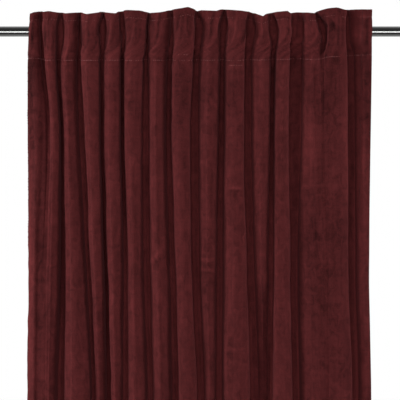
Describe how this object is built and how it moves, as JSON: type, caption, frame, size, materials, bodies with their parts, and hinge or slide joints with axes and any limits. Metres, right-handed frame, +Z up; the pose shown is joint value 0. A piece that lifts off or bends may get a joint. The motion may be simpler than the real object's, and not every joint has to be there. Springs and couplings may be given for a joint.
{
  "type": "curtain with rod",
  "caption": "Full-length velvet curtain gathered in uneven upright folds under a stitched tape heading, hung on a slim round steel rod.",
  "frame": {"origin": "middle of the rod's axis, halfway between its ends", "axes": "+X along the rod to the right seen from the front, -Y out of the front of the curtain, +Z up"},
  "size_m": [1, 0.0761, 2.407],
  "materials": {
    "velvet": "matt crushed pile, dark burgundy, lighter where it turns away",
    "tape": "plain woven tape, natural white",
    "steel": "polished with fine lengthwise drawing marks"
  },
  "bodies": {
    "root": {"curtain_cloth": "velvet", "heading_tape": "tape", "rod": "steel", "hanging_loop_01": "tape", "hanging_loop_02": "tape", "hanging_loop_03": "tape", "hanging_loop_04": "tape", "hanging_loop_05": "tape", "hanging_loop_06": "tape", "hanging_loop_07": "tape", "hanging_loop_08": "tape", "hanging_loop_09": "tape", "hanging_loop_10": "tape", "hanging_loop_11": "tape", "hanging_loop_12": "tape", "hanging_loop_13": "tape", "hanging_loop_14": "tape"}
  },
  "joints": []
}
